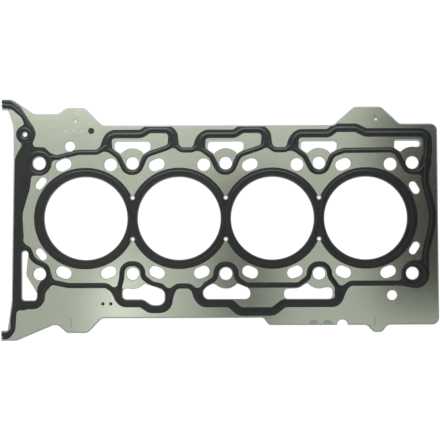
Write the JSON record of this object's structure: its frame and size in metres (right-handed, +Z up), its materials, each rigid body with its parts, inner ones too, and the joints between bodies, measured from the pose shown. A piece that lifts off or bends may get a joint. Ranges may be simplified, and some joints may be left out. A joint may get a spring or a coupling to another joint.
{
  "type": "cylinder head gasket",
  "caption": "Flat multi-layer steel head gasket for an inline engine, with printed black seals, round bores and windows.",
  "frame": {"origin": "middle of the head bolt pattern, on the underside that lies on the cylinder block", "axes": "+X along the row of cylinders to the plain end, +Y across them to the side with the two lobes, +Z up towards the cylinder head"},
  "size_m": [0.4508, 0.2483, 0.0015],
  "materials": {
    "carrier": "cold-rolled",
    "bead_sheet": "satin spring steel",
    "stopper_ring": "bare edge",
    "seal_print": "semi-matt print"
  },
  "bodies": {
    "root": {"carrier_layer": "carrier", "upper_bead_layer": "bead_sheet", "upper_passage_seal": "seal_print", "upper_bore_seal": "seal_print", "lower_passage_seal": "seal_print", "lower_bore_seal": "seal_print", "bore_stopper_ring_1": "stopper_ring", "bore_stopper_ring_2": "stopper_ring", "bore_stopper_ring_3": "stopper_ring", "bore_stopper_ring_4": "stopper_ring"}
  },
  "joints": []
}
